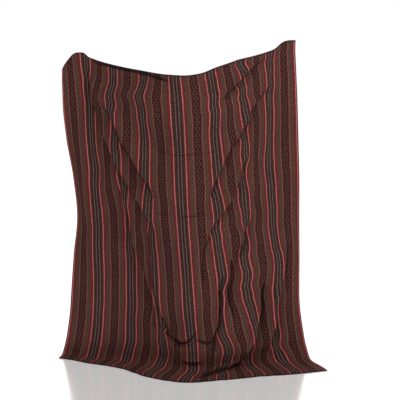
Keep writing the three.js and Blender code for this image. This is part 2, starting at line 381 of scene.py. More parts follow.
# The folds that draw the cloth in: those on its left, then those on its right.
MAIN_FOLDS = (
    Fold(
        "left edge roll",
        Shape.RIDGE,
        ((0.100, 1.300, -0.014), (0.105, 0.800, -0.018)),
        reach=0.060,
        fade=0.20,
    ),
    Fold(
        "long left swag",
        Shape.STEP,
        (
            (0.190, 1.580, -0.012),
            (0.212, 1.458, -0.018),
            (0.255, 1.278, -0.020),
            (0.300, 1.180, -0.022),
            (0.336, 1.100, -0.022),
            (0.560, 0.788, -0.018),
        ),
        reach=0.060,
        fade=0.12,
        pinch=1.0,
    ),
    Fold(
        "inner left swag",
        Shape.STEP,
        ((0.330, 1.390, -0.016), (0.398, 1.254, -0.018), (0.470, 1.125, -0.018), (0.580, 0.970, -0.018)),
        reach=0.060,
        fade=0.12,
        pinch=1.0,
    ),
    Fold(
        "low left crease",
        Shape.STEP,
        (
            (0.350, 0.930, -0.012),
            (0.388, 0.709, -0.014),
            (0.465, 0.506, -0.018),
            (0.510, 0.341, -0.018),
            (0.523, 0.254, -0.016),
        ),
        reach=0.060,
        fade=0.12,
        pinch=1.0,
    ),
    Fold(
        "low inner crease",
        Shape.STEP,
        (
            (0.545, 0.720, -0.010),
            (0.545, 0.500, -0.013),
            (0.555, 0.372, -0.016),
            (0.610, 0.215, -0.016),
            (0.670, 0.160, -0.012),
        ),
        reach=0.050,
        fade=0.10,
        pinch=1.0,
    ),
    Fold(
        "right shoulder",
        Shape.STEP,
        ((1.330, 1.600, 0.009), (1.330, 1.150, 0.009)),
        reach=0.060,
        fade=0.15,
    ),
    Fold(
        "upper right swag",
        Shape.STEP,
        ((1.230, 1.626, 0.016), (1.128, 1.546, 0.018), (1.020, 1.463, 0.016)),
        reach=0.060,
        fade=0.08,
        pinch=1.0,
    ),
    Fold(
        "long right swag",
        Shape.STEP,
        (
            (1.262, 1.466, 0.016),
            (1.192, 1.382, 0.018),
            (1.135, 1.298, 0.018),
            (1.040, 1.190, 0.018),
            (0.978, 1.086, 0.018),
            (0.900, 0.950, 0.014),
        ),
        reach=0.055,
        fade=0.12,
        pinch=1.0,
    ),
    Fold(
        "lower right swag",
        Shape.STEP,
        (
            (1.140, 1.123, 0.016),
            (1.090, 0.988, 0.018),
            (0.995, 0.870, 0.018),
            (0.920, 0.790, 0.014),
            (0.840, 0.640, 0.012),
            (0.820, 0.520, 0.010),
        ),
        reach=0.055,
        fade=0.12,
        pinch=0.9,
    ),
    Fold(
        "upper right dip",
        Shape.RIDGE,
        ((1.229, 1.240, 0.010), (1.229, 1.120, 0.010)),
        reach=0.030,
        fade=0.10,
    ),
    Fold(
        "middle right dip",
        Shape.RIDGE,
        ((1.222, 0.960, 0.010), (1.222, 0.860, 0.010)),
        reach=0.030,
        fade=0.10,
    ),
    Fold(
        "wide right valley",
        Shape.RIDGE,
        ((1.170, 0.770, 0.034), (1.110, 0.660, 0.034), (1.045, 0.560, 0.038), (1.030, 0.330, 0.036)),
        reach=0.042,
        fade=0.12,
        pinch=0.8,
    ),
    Fold(
        "narrow right valley",
        Shape.RIDGE,
        (
            (0.945, 0.470, 0.026),
            (0.943, 0.357, 0.028),
            (0.930, 0.252, 0.028),
            (0.885, 0.178, 0.024),
            (0.870, 0.120, 0.018),
        ),
        reach=0.025,
        fade=0.12,
        pinch=1.4,
    ),
    Fold(
        "outer foot pleat",
        Shape.STEP,
        (
            (1.400, 0.640, 0.004),
            (1.385, 0.502, 0.014),
            (1.345, 0.353, 0.026),
            (1.325, 0.221, 0.036),
            (1.285, 0.150, 0.042),
            (1.260, 0.100, 0.036),
        ),
        reach=0.060,
        fade=0.08,
        turn=0.018,
        pinch=1.2,
    ),
    Fold(
        "main foot pleat",
        Shape.STEP,
        (
            (1.225, 0.420, 0.022),
            (1.215, 0.340, 0.032),
            (1.155, 0.188, 0.044),
            (1.100, 0.104, 0.048),
            (1.050, 0.022, 0.044),
            (0.980, -0.030, 0.038),
            (0.909, -0.072, 0.028),
            (0.830, -0.112, 0.018),
        ),
        reach=0.060,
        fade=0.08,
        turn=0.018,
        pinch=3.6,
    ),
)

# Folds too small to draw it in.
FINE_FOLDS = (
    Fold(
        "crease under the top edge",
        Shape.RIDGE,
        (
            (0.220, 1.650, 0.005),
            (0.380, 1.612, 0.007),
            (0.482, 1.590, 0.008),
            (0.610, 1.560, 0.009),
            (0.715, 1.531, 0.007),
        ),
        reach=0.012,
        fade=0.06,
        pinch=1.3,
        run=Run.ACROSS,
    ),
    Fold(
        "roll under the top edge",
        Shape.RIDGE,
        ((0.420, 1.585, -0.006), (0.640, 1.532, -0.006)),
        reach=0.020,
        fade=0.08,
        run=Run.ACROSS,
    ),
    Fold(
        "foot of the upper swag",
        Shape.RIDGE,
        ((0.590, 1.215, 0.003), (0.655, 1.170, 0.005), (0.750, 1.152, 0.005), (0.880, 1.165, 0.003)),
        reach=0.016,
        fade=0.06,
        pinch=0.6,
        run=Run.ACROSS,
    ),
    Fold(
        "foot of the middle swag",
        Shape.RIDGE,
        ((0.620, 0.846, 0.003), (0.760, 0.836, 0.004), (0.900, 0.846, 0.003)),
        reach=0.014,
        fade=0.06,
        pinch=0.5,
        run=Run.ACROSS,
    ),
)

# The swags that draw it in: name, along, height, half length, half height, sag and push.
MAIN_SWAGS = (
    Swag("upper swag", 0.755, 1.250, 0.270, 0.095, 0.080, 0.024),
    Swag("middle swag", 0.755, 0.870, 0.170, 0.060, 0.050, 0.009),
    Swag("low swag", 0.700, 0.270, 0.160, 0.085, 0.050, 0.026),
)

# Tight tucks near the floor, in the same columns.
TUCKS = (
    Swag("left foot tuck", 0.675, 0.152, 0.090, 0.014, 0.050, 0.015, pinch=2.0),
    Swag("right foot tuck", 0.835, 0.164, 0.055, 0.014, 0.014, 0.014, pinch=1.2),
    Swag("lower foot tuck", 0.745, 0.040, 0.048, 0.012, 0.006, 0.012, pinch=1.2),
)

# Sideways pulls: along, height, half width, half height and push.
SWAYS = (
    Sway(0.220, 1.540, 0.120, 0.060, -0.009),
    Sway(0.300, 1.440, 0.080, 0.085, -0.015),
    Sway(0.200, 1.070, 0.060, 0.090, 0.012),
    Sway(0.320, 1.050, 0.030, 0.050, -0.010),
    Sway(0.330, 0.960, 0.030, 0.030, 0.010),
    Sway(0.130, 0.700, 0.060, 0.300, -0.009),
    Sway(0.330, 0.370, 0.220, 0.100, -0.013),
    Sway(0.390, 1.210, 0.040, 0.050, -0.009),
    Sway(0.395, 0.665, 0.040, 0.045, -0.014),
    Sway(0.430, 1.530, 0.100, 0.035, -0.009),
    Sway(0.450, 1.435, 0.120, 0.050, 0.009),
    Sway(0.400, 0.130, 0.160, 0.060, 0.012),
    Sway(0.525, 0.770, 0.030, 0.030, 0.010),
    Sway(0.525, 0.500, 0.040, 0.160, -0.012),
    Sway(0.588, 0.190, 0.035, 0.025, -0.022),
    Sway(0.560, 1.555, 0.070, 0.025, 0.009),
    Sway(0.580, 1.400, 0.050, 0.080, 0.009),
    Sway(0.560, 0.060, 0.080, 0.060, 0.014),
    Sway(0.930, 0.120, 0.070, 0.080, 0.016),
    Sway(0.912, -0.060, 0.050, 0.035, -0.022),
    Sway(0.970, 0.700, 0.050, 0.080, -0.012),
    Sway(1.020, 0.090, 0.070, 0.080, 0.014),
    Sway(1.105, 0.200, 0.050, 0.090, 0.020),
    Sway(1.105, 1.490, 0.035, 0.030, 0.012),
    Sway(1.105, 1.225, 0.030, 0.035, 0.012),
    Sway(1.105, 1.025, 0.035, 0.040, 0.012),
    Sway(1.105, 0.900, 0.035, 0.045, -0.011),
    Sway(1.100, 0.685, 0.040, 0.045, 0.018),
    Sway(1.125, 0.570, 0.060, 0.050, -0.012),
    Sway(1.140, 1.620, 0.050, 0.040, -0.014),
    Sway(1.150, 0.000, 0.090, 0.110, -0.030),
    Sway(1.168, 1.325, 0.040, 0.035, 0.015),
    Sway(1.168, 1.125, 0.040, 0.035, 0.013),
    Sway(1.168, 0.600, 0.050, 0.060, -0.010),
    Sway(1.361, 0.370, 0.050, 0.055, 0.019),
    Sway(1.361, 0.090, 0.060, 0.040, -0.020),
    Sway(1.290, 0.030, 0.060, 0.060, -0.022),
)


@dataclass(frozen=True)
class Ripples:
    """Faint uneven waves all over a limp cloth, longer down its length than across it.

    Attributes:
        count: How many waves there are.
        shortest: The length of the shortest wave.
        longest: The length of the longest wave.
        height_share: How high a wave is, as a share of its length.
        widest_turn: How far a wave may turn from straight across, in radians.
        stretch_down: How much longer a wave is down the cloth than across it.
        seed: What the random lengths, turns and phases are drawn from.
    """

    count: int = 36
    shortest: float = 0.050
    longest: float = 0.260
    height_share: float = 0.0126
    widest_turn: float = 0.9
    stretch_down: float = 2.6
    seed: int = 11

    def relief(self, along: np.ndarray, height: np.ndarray) -> np.ndarray:
        """Add up cosine waves of seeded lengths, turns and phases.

        Long waves are deep and short ones shallow, and the sum is divided by the root of how many
        there are.

        Args:
            along: Place along the cloth's width.
            height: Height above the floor.

        Returns:
            How far the waves push the cloth back at each point.
        """
        draw = np.random.default_rng(self.seed)
        total = np.zeros(np.broadcast(along, height).shape)
        for _ in range(self.count):
            length = self.shortest * (self.longest / self.shortest) ** draw.random()
            turn = draw.uniform(-self.widest_turn, self.widest_turn)
            phase = draw.uniform(0.0, math.tau)
            across = math.cos(turn) / length
            down = math.sin(turn) / (length * self.stretch_down)
            total += self.height_share * length * np.cos(math.tau * (across * along + down * height) + phase)
        return total / math.sqrt(self.count)


@dataclass(frozen=True)
class Drape:
    """The middle surface of the hanging cloth, with the floor at height zero.

    A place on it is given by its distance along the width and by a level, which runs from -1 at
    the top edge through 0 at the floor to 1 at the hem.

    Attributes:
        width: The cloth's width, laid flat.
        length: Its length, laid flat.
        middle: The place along it from which each row is fitted to both sides.
        bend_radius: How tightly it turns where it meets the floor.
        least_run: The least share of its own width that a steep piece of a row takes across.
        crease_range: How far from a crease its weight has fallen to a third.
        foot_drag: How far the lying foot is dragged to the left, on its left half.
        drag_from: How far in from the left edge the drag begins.
        drag_begins: The level where it begins.
        drag_whole: The level where it is whole. At the hem it is gone.
        ripples: The faint waves all over the cloth.
    """

    width: float = 1.50
    length: float = 1.80
    middle: float = 0.75
    bend_radius: float = 0.022
    least_run: float = 0.14
    crease_range: float = 0.030
    foot_drag: float = 0.016
    drag_from: float = 0.060
    drag_begins: float = 0.30
    drag_whole: float = 0.70
    ripples: Ripples = Ripples()

    def top_height(self, along: np.ndarray) -> np.ndarray:
        """Height of the top edge above the floor."""
        table = np.array(TOP_EDGE)
        return steady_curve(along, table[:, 0], table[:, 1])

    def section(self, height: np.ndarray, values: list[float]) -> np.ndarray:
        """Follow one column of the level sections from the floor up."""
        heights = np.array([row[0] for row in SECTIONS])[::-1]
        return steady_curve(height, heights, np.array(values)[::-1])

    def broad_depth(self, along: np.ndarray, height: np.ndarray) -> np.ndarray:
        """Work out how far back the broad form lies, before its folds.

        At each of the nine places the depth follows its own column of the level sections, and a
        rounder curve runs across them.

        Args:
            along: Place along the cloth's width.
            height: Height above the floor.

        Returns:
            The depth at each point.
        """
        along, height = np.broadcast_arrays(along, height)
        columns = [self.section(height, [row[2][k] for row in SECTIONS]) for k in range(len(PLACES))]
        return round_curve(along, np.array(PLACES), np.stack(columns))

    def hem_depth(self, along: np.ndarray) -> np.ndarray:
        """How far back the hem lies on the floor."""
        return round_curve(along, np.array(PLACES), np.array(HEM_DEPTH))

    def wide_relief(self, along: np.ndarray, height: np.ndarray) -> np.ndarray:
        """How far the main folds, the swags and the ripples together push the cloth back."""
        wide = sum(fold.relief(along, height) for fold in MAIN_FOLDS + MAIN_SWAGS)
        return wide + self.ripples.relief(along, height)

    def tight_relief(self, along: np.ndarray, height: np.ndarray) -> np.ndarray:
        """How far the tucks and the fine folds push it back. They are too small to draw it in."""
        return sum(fold.relief(along, height) for fold in TUCKS + FINE_FOLDS)

    def creases(self, along: np.ndarray, level: np.ndarray) -> tuple[np.ndarray, np.ndarray]:
        """Find the crease that weighs most at each point, by depth * exp(-(distance / range)^2), for the
        painted shade in the creases.

        Args:
            along: Place along the cloth's width.
            level: The level down the cloth.

        Returns:
            The distance from that crease, with a sign for its side, and the depth of its painted shade.
            They are one metre and zero where there is no crease.
        """
        height = -self.path(along, level)
        nearest = np.ones(height.shape)
        deepest = np.zeros(height.shape)
        most = np.zeros(height.shape)
        for fold in MAIN_FOLDS + MAIN_SWAGS + TUCKS + FINE_FOLDS:
            distance, depth = fold.crease(along, height)
            weight = depth * np.exp(-((distance / self.crease_range) ** 2))
            nearest = np.where(weight > most, distance, nearest)
            deepest = np.where(weight > most, depth, deepest)
            most = np.maximum(weight, most)
        return nearest, deepest

    def foot_length(self, along: np.ndarray) -> np.ndarray:
        """How much of each warp line lies on the floor."""
        return self.broad_depth(along, np.zeros_like(along)) - self.hem_depth(along)

    def path(self, along: np.ndarray, level: np.ndarray) -> np.ndarray:
        """Distance down each warp line from where it meets the floor, minus above it."""
        return np.where(level < 0, level * self.top_height(along), level * self.foot_length(along))

    def down(self, along: np.ndarray, level: np.ndarray) -> np.ndarray:
        """Distance from the top edge, with every warp line taken as the cloth's full length."""
        whole = self.top_height(along) + self.foot_length(along)
        return (self.path(along, level) + self.top_height(along)) / whole * self.length

    def across(self, along: np.ndarray, levels: np.ndarray, y: np.ndarray, z: np.ndarray) -> np.ndarray:
        """Work out where each point lies from left to right, from how the cloth slopes along its row.

        Each short piece of a row takes sqrt(1 - slope^2) of its own width, and each half of the
        row is then fitted between the middle warp line and its edge.

        Args:
            along: Place along the cloth's width, in one row.
            levels: The level of each row.
            y: How far back each point lies.
            z: How high each point lies.

        Returns:
            The place from left to right of each point.
        """
        step = along[0, 1]
        slope = np.hypot(np.diff(y, axis=1), np.diff(np.maximum(z, 0.0), axis=1)) / step
        runs = step * np.sqrt(np.maximum(1.0 - slope**2, self.least_run**2))
        run = np.concatenate([np.zeros((len(levels), 1)), np.cumsum(runs, axis=1)], axis=1)
        centre = round(self.middle / step)
        run = run - run[:, centre : centre + 1]
        on_floor = smooth(np.maximum(levels, 0.0))
        left, middle, right = (
            self.section(z[:, column], [row[1][k] for row in SECTIONS])
            + (HEM_ACROSS[k] - SECTIONS[-1][1][k]) * on_floor
            for k, column in enumerate((0, centre, -1))
        )
        left_share = (left - middle) / run[:, 0]
        right_share = (right - middle) / run[:, -1]
        return middle[:, None] + run * np.where(run < 0, left_share[:, None], right_share[:, None])

    def drag(self, along: np.ndarray, level: np.ndarray) -> np.ndarray:
        """Work out how far the lying foot is dragged to the left.

        The drag is on the left half only, and it fades towards the left edge, the bend and the hem.

        Args:
            along: Place along the cloth's width.
            level: The level down the cloth.

        Returns:
            The drag at each point.
        """
        from_bend = smooth((level - self.drag_begins) / (self.drag_whole - self.drag_begins))
        from_hem = smooth((1.0 - level) / (1.0 - self.drag_whole))
        left_half = smooth((self.middle - along) / (self.middle / 2))
        from_edge = smooth((along - self.drag_from) / self.drag_from)
        return self.foot_drag * from_bend * from_hem * left_half * from_edge

    def points(self, columns: int, levels: np.ndarray, finer: int = 3) -> np.ndarray:
        """Work out the middle surface on a grid.

        Height follows r log(1 + exp(-p / r)) for a warp line's path p and bend radius r, which
        falls straight, turns through a quarter circle and lies level. The rest of the path runs
        forward. The folds push back on the hanging cloth and down on the lying cloth. The wide
        ones draw the cloth in, and the sideways pulls and the drag of the foot come last.

        Args:
            columns: How many columns of patches.
            levels: The level of each row, growing.
            finer: How many times finer a row is measured than it is built.

        Returns:
            Points shaped (rows, columns + 1, 3).
        """
        along = np.linspace(0.0, self.width, columns * finer + 1)[None, :]
        level = levels[:, None]
        path = self.path(along, level)
        height = self.bend_radius * np.logaddexp(0.0, -path / self.bend_radius)
        lying = 1.0 / (1.0 + np.exp(-path / self.bend_radius))
        wide = self.wide_relief(along, -path)
        y = self.broad_depth(along, height) - (path + height) + (1.0 - lying) * wide
        z = height - lying * wide
        x = self.across(along, levels, y, z)

        tight = self.tight_relief(along, -path)
        y += (1.0 - lying) * tight
        z = np.maximum(z - lying * tight, 0.0)
        for sway in SWAYS:
            x += sway.shift(along, -path)
        x -= self.drag(along, level)
        return np.stack([x, y, z], axis=-1)[:, ::finer]


@dataclass(frozen=True)
class Hem:
    """The turned and stitched edge at the top and at the foot, and the woven edge at each side.

    Attributes:
        width: How much cloth is turned over.
        thickness: How thick the cloth is where it is turned over.
        ease: Over how much cloth the thickness changes.
        stitch_in: How far in from the edge the stitches run.
        stitch_pitch: From one stitch to the next.
        stitch_length: How long a stitch is.
        stitch_width: How wide it is.
        groove: How deep the stitches pull each side of the cloth in.
        groove_width: How far from them it is drawn in to a third of that.
        painted_shade_top: How far in from the top edge shade is painted on the turned edge.
        painted_shade_foot: The same at the foot, where shade is painted on the turned hem.
        dark_side: How far in from each side the cloth is darker.
        shade: How dark it is there, from 0 to 1: painted shade at the top and the foot, a darker edge at the
            sides.
    """

    width: float = 0.010
    thickness: float = 0.0036
    ease: float = 0.002
    stitch_in: float = 0.0085
    stitch_pitch: float = 0.0048
    stitch_length: float = 0.0034
    stitch_width: float = 0.0012
    groove: float = 0.0007
    groove_width: float = 0.001
    painted_shade_top: float = 0.0045
    painted_shade_foot: float = 0.0110
    dark_side: float = 0.0035
    shade: float = 0.80


@dataclass(frozen=True)
class Blanket:
    """The cloth as one closed sheet with turned hems.

    Attributes:
        drape: The form in which it hangs.
        hem: Its hems.
        thickness: The thickness of the single cloth.
        columns: How many patches it has along its width.
        hanging_rows: How many rows of patches hang between the upper hem and the floor.
        foot_rows: How many lie between the bend and the lower hem.
        hem_rows: How far from the edge each row of a hem lies.
        usual_hang: How long most warp lines hang.
        usual_foot: How much of most warp lines lies on the floor.
        crowding: How much closer together the rows are near the floor, from 1 up.
    """

    drape: Drape = Drape()
    hem: Hem = Hem()
    thickness: float = 0.002
    columns: int = 288
    hanging_rows: int = 134
    foot_rows: int = 18
    hem_rows: tuple[float, ...] = (0.0, 0.001, 0.003, 0.006, 0.008, 0.009, 0.0105, 0.013)
    usual_hang: float = 1.64
    usual_foot: float = 0.130
    crowding: float = 1.12

    def origin(self) -> np.ndarray:
        """Find the part's origin, measured from the floor: on the top edge, at its middle."""
        top = self.drape.points(self.columns, np.array([-1.0, 0.0]))[0, self.columns // 2]
        return top + (0.0, 0.0, self.thickness / 2)

    def levels(self) -> np.ndarray:
        """Place the rows from the top edge to the hem, close together in the hems and near the floor.

        Returns:
            The level of each row, growing.
        """
        edge = np.array(self.hem_rows)
        top = -1.0 + edge / self.usual_hang
        share = np.linspace(1.0, 0.0, self.hanging_rows + 1)[1:]
        hanging = share**self.crowding * top[-1]
        foot_edge = 1.0 - edge[::-1] / self.usual_foot
        foot = np.linspace(0.0, foot_edge[0], self.foot_rows + 1)[1:-1]
        return np.concatenate([top, hanging, foot, foot_edge])

    def half_thickness(self, down: np.ndarray) -> np.ndarray:
        """Work out half the cloth's thickness: doubled over in a hem, with a groove where it is stitched.

        Args:
            down: Distance from the top edge.

        Returns:
            Half the thickness at each point.
        """
        from_edge = np.minimum(down, self.drape.length - down)
        turned = 1.0 - smooth((from_edge - self.hem.width) / self.hem.ease + 0.5)
        stitched = np.exp(-(((from_edge - self.hem.stitch_in) / self.hem.groove_width) ** 2))
        extra = (self.hem.thickness - self.thickness) / 2
        return self.thickness / 2 + extra * turned - self.hem.groove * stitched

    def build(self) -> bpy.types.Object:
        """Make the sheet: its face, its back and a rounded rim between them.

        Face and back are the middle surface moved along its own normal, the cross product of its
        two grid directions, by half the thickness. The rim is the border of the middle surface
        moved outwards by as much.

        Returns:
            The blanket, with its place in its mesh.
        """
        levels = self.levels()
        middle = self.drape.points(self.columns, levels)
        along = np.linspace(0.0, self.drape.width, self.columns + 1)[None, :]
        down = self.drape.down(along, levels[:, None])
        half = self.half_thickness(down)[..., None]
        tangent_down = np.gradient(middle, axis=0)
        tangent_along = np.gradient(middle, axis=1)
        lifted = middle + half * (0.0, 0.0, 1.0)
        off = half * unit(np.cross(tangent_down, tangent_along))
        rim = lifted + half * self.outward(tangent_down, tangent_along)

        index = np.arange(down.size).reshape(down.shape)
        border = np.concatenate([index[0, :-1], index[:-1, -1], index[-1, :0:-1], index[:0:-1, 0]])
        vertices = self.gather(lifted + off, lifted - off, rim, border)
        vertices[:, 2] = np.maximum(vertices[:, 2], 0.0)
        place = np.stack([np.broadcast_to(along, down.shape), down], axis=-1)
        uv = self.gather(place, place, place, border)
        piece = self.mesh("blanket_cloth", vertices - self.origin(), self.quads(index, border), uv)
        # The crease distance and depth are kept on the mesh for the painted shade in the creases.
        distance, depth = self.drape.creases(along, levels[:, None])
        for name, values in (("crease_distance", distance), ("crease_shade_depth", depth)):
            layer = piece.data.attributes.new(name, "FLOAT", "POINT")
            held = values[..., None]
            layer.data.foreach_set("value", self.gather(held, held, held, border).ravel())
        return piece

    def outward(self, tangent_down: np.ndarray, tangent_along: np.ndarray) -> np.ndarray:
        """Find the directions out of the sheet's border, along its own surface.

        Args:
            tangent_down: The grid's direction down the cloth at each point.
            tangent_along: The grid's direction along its width at each point.

        Returns:
            A direction at each point, zero inside the border.
        """
        unit_down = unit(tangent_down)
        unit_along = unit(tangent_along)
        out = np.zeros_like(unit_down)
        out[0] -= unit_down[0]
        out[-1] += unit_down[-1]
        out[:, 0] -= unit_along[:, 0]
        out[:, -1] += unit_along[:, -1]
        return out

    def gather(self, face: np.ndarray, back: np.ndarray, rim: np.ndarray, border: np.ndarray) -> np.ndarray:
        """List the values of all vertices: the face's grid, the back's grid and the rim.

        Args:
            face: The values on the face's grid, shaped (rows, columns, values).
            back: The same on the back's.
            rim: The same for the rim, of which only the border is used.
            border: The numbers of the border's vertices.

        Returns:
            One row of values a vertex.
        """
        rows = [grid.reshape(-1, grid.shape[-1]) for grid in (face, back, rim)]
        return np.concatenate([rows[0], rows[1], rows[2][border]])

    def quads(self, index: np.ndarray, border: np.ndarray) -> np.ndarray:
        """List the patches of the face, the back and the rim, all facing outwards.

        Args:
            index: The vertex numbers of the face's grid. The back's follow them.
            border: The face's border vertices, clockwise as seen from the face.

        Returns:
            Rows of four vertex numbers.
        """
        side = index.size
        a, b = index[:-1, :-1].ravel(), index[1:, :-1].ravel()
        c, d = index[1:, 1:].ravel(), index[:-1, 1:].ravel()
        face = np.stack([a, b, c, d], axis=1)
        back = np.stack([a, d, c, b], axis=1) + side
        ahead = np.roll(border, -1)
        rim = 2 * side + np.arange(len(border))
        rim_ahead = np.roll(rim, -1)
        front_rim = np.stack([border, ahead, rim_ahead, rim], axis=1)
        back_rim = np.stack([rim, rim_ahead, ahead + side, border + side], axis=1)
        return np.concatenate([face, back, front_rim, back_rim])

    def mesh(self, name: str, vertices: np.ndarray, quads: np.ndarray, uv: np.ndarray) -> bpy.types.Object:
        """Put the arrays into a smooth-shaded mesh object with a UV map in metres of cloth.

        Args:
            name: The name of the object and of its mesh.
            vertices: One point a row.
            quads: Four vertex numbers a row.
            uv: Each vertex's place along and down the cloth.

        Returns:
            The object, in the scene.
        """
        data = bpy.data.meshes.new(name)
        data.vertices.add(len(vertices))
        data.vertices.foreach_set("co", vertices.ravel())
        data.loops.add(quads.size)
        data.loops.foreach_set("vertex_index", quads.ravel())
        data.polygons.add(len(quads))
        data.polygons.foreach_set("loop_start", np.arange(0, quads.size, 4))
        data.polygons.foreach_set("loop_total", np.full(len(quads), 4))
        layer = data.uv_layers.new(name="cloth")
        layer.data.foreach_set("uv", uv[quads.ravel()].ravel())
        data.update(calc_edges=True)
        data.validate()
        data.polygons.foreach_set("use_smooth", np.ones(len(data.polygons), dtype=bool))
        piece = bpy.data.objects.new(name, data)
        bpy.context.scene.collection.objects.link(piece)
        return piece

    def dress(self, piece: bpy.types.Object) -> None:
        """Give the cloth its woven finish, with painted shade in its creases and along its turned edges."""
        piece.data.materials.append(StripedCotton(self.drape, self.hem).material())


def linear(red: int, green: int, blue: int) -> Colour:
    """Turn a colour of 0 to 255 a channel into the linear colour that nodes take."""
    shares = (channel / 255.0 for channel in (red, green, blue))
    made = [s / 12.92 if s <= 0.04045 else ((s + 0.055) / 1.055) ** 2.4 for s in shares]
    return (made[0], made[1], made[2], 1.0)


@dataclass(frozen=True)
class Yarns:
    """The colours of the yarns, as 0 to 255 a channel."""

    salmon: tuple[int, int, int] = (172, 97, 94)
    red: tuple[int, int, int] = (91, 35, 34)
    mauve: tuple[int, int, int] = (81, 49, 44)
    olive: tuple[int, int, int] = (72, 54, 44)
    pink: tuple[int, int, int] = (120, 70, 64)
    maroon: tuple[int, int, int] = (68, 27, 26)
    brown: tuple[int, int, int] = (52, 27, 24)
    # Also the colour of the painted shade in the creases and along the turned edges.
    black: tuple[int, int, int] = (10, 6, 6)
    lattice: tuple[int, int, int] = (84, 52, 46)
    russet: tuple[int, int, int] = (88, 44, 38)
    umber: tuple[int, int, int] = (62, 41, 34)
    plum: tuple[int, int, int] = (52, 31, 34)
    lilac: tuple[int, int, int] = (112, 89, 85)
    thread: tuple[int, int, int] = (40, 24, 24)


class Nodes:
    """A short way to lay out the nodes of a material or a world."""

    def __init__(self, owner: bpy.types.Material | bpy.types.World) -> None:
        """Start from the owner's own empty tree."""
        owner.use_nodes = True
        self.tree = owner.node_tree
        self.tree.nodes.clear()

    def add(
        self, kind: str, inputs: dict[str | int, Value] | None = None, **settings: object
    ) -> bpy.types.Node:
        """Add a node, set its settings, and set or link its inputs.

        Args:
            kind: The node's type name.
            inputs: Values or output sockets for its input sockets, by name or number.
            settings: Attributes of the node itself.

        Returns:
            The new node.
        """
        node = self.tree.nodes.new(kind)
        for key, value in settings.items():
            setattr(node, key, value)
        for key, value in (inputs or {}).items():
            if isinstance(value, Socket):
                self.tree.links.new(value, node.inputs[key])
            else:
                node.inputs[key].default_value = value
        return node

    def math(self, operation: str, *values: float | Socket) -> Socket:
        """Give the result of a Math node on numbers or sockets."""
        return self.add("ShaderNodeMath", dict(enumerate(values)), operation=operation).outputs[0]

    def mix(self, share: Value, first: Value, second: Value, blend: str = "MIX") -> Socket:
        """Mix two colours by a share."""
        node = self.add("ShaderNodeMix", {0: share, 6: first, 7: second}, data_type="RGBA", blend_type=blend)
        return node.outputs[2]

    def between(self, value: Socket, low: float, high: float) -> Socket:
        """Give 1 where a value lies between two limits, and 0 elsewhere."""
        above = self.math("GREATER_THAN", value, low)
        return self.math("MULTIPLY", above, self.math("LESS_THAN", value, high))

    def wave(self, value: Socket, pitch: float) -> Socket:
        """Give a wave that climbs from 0 to 1 over half a pitch, and falls back over the other half."""
        return self.math("DIVIDE", self.math("PINGPONG", value, pitch / 2), pitch / 2)

    def bands(self, share: Socket, stops: list[tuple[float, Colour]]) -> Socket:
        """Give the colour of the last stop that a share has passed.

        Args:
            share: A number from 0 to 1.
            stops: Where each colour begins, growing, and the colour.

        Returns:
            The colour.
        """
        node = self.add("ShaderNodeValToRGB", {0: share})
        band = node.color_ramp
        band.interpolation = "CONSTANT"
        while len(band.elements) > 1:
            band.elements.remove(band.elements[-1])
        for k, (position, colour) in enumerate(stops):
            element = band.elements[0] if k == 0 else band.elements.new(position)
            element.position = position
            element.color = colour
        return node.outputs[0]


@dataclass(frozen=True)
class Unevenness:
    """How something varies at random over the cloth.

    Attributes:
        waves: How many waves a metre it has, along and down the cloth.
        detail: How many finer layers it has.
        swing: How much it varies, from its least to its most.
        least: Its least value.
    """

    waves: tuple[float, float]
    detail: float
    swing: float
    least: float

    def spread(self, nodes: Nodes, cloth: Socket) -> Socket:
        """Give least + swing * noise, with the noise from 0 to 1 at each place on the cloth."""
        mapped = nodes.add("ShaderNodeMapping", {"Vector": cloth, "Scale": (*self.waves, 1.0)}).outputs[0]
        inputs = {"Vector": mapped, "Scale": 1.0, "Detail": self.detail}
        noise = nodes.add("ShaderNodeTexNoise", inputs).outputs[0]
        return nodes.math("MULTIPLY_ADD", noise, self.swing, self.least)


@dataclass(frozen=True)
class Diamonds:
    """A lattice of tall diamonds, each with a black heart, and specks beside them.

    Attributes:
        width: How wide a diamond is.
        height: How tall it is.
        reach: How far the lattice goes to either side of its band's middle.
        line: How far a lattice line reaches to each side, as a share of half a diamond.
        heart: How far from the lines a heart begins, as such a share.
        speck_column: Between which distances from the band's middle the specks stand.
        speck: How far up or down a diamond they begin, as such a share.
        shade: How black the hearts and specks are, from 0 to 1.
    """

    width: float = 0.0160
    height: float = 0.0310
    reach: float = 0.0195
    line: float = 0.20
    heart: float = 0.60
    speck_column: tuple[float, float] = (0.0140, 0.0180)
    speck: float = 0.70
    shade: float = 0.85

    def weave(self, nodes: Nodes, colour: Socket, across: Socket, down: Socket, yarns: Yarns) -> Socket:
        """Weave the lattice into its band.

        The waves across and down, each from 0 to 1 over half a diamond, add up to one on the
        lattice's lines, and to zero or two at the hearts. The specks stand on the outer columns
        of hearts, halfway between them.

        Args:
            nodes: The material's nodes.
            colour: The stripes' colour.
            across: Distance from the middle of the nearest diamond band.
            down: Distance from the top edge.
            yarns: The colours.

        Returns:
            The colour with the lattice in it.
        """
        up = nodes.wave(down, self.height)
        both = nodes.math("ADD", nodes.wave(across, self.width), up)
        off_line = nodes.math("ABSOLUTE", nodes.math("SUBTRACT", both, 1.0))
        band = nodes.math("LESS_THAN", across, self.reach)
        line = nodes.math("MULTIPLY", nodes.math("LESS_THAN", off_line, self.line), band)
        heart = nodes.math("MULTIPLY", nodes.math("GREATER_THAN", off_line, self.heart), band)
        column = nodes.between(across, *self.speck_column)
        speck = nodes.math("MULTIPLY", column, nodes.math("GREATER_THAN", up, self.speck))
        lit = nodes.mix(line, colour, linear(*yarns.lattice))
        dark = nodes.math("MULTIPLY", nodes.math("MAXIMUM", heart, speck), self.shade)
        return nodes.mix(dark, lit, linear(*yarns.black))


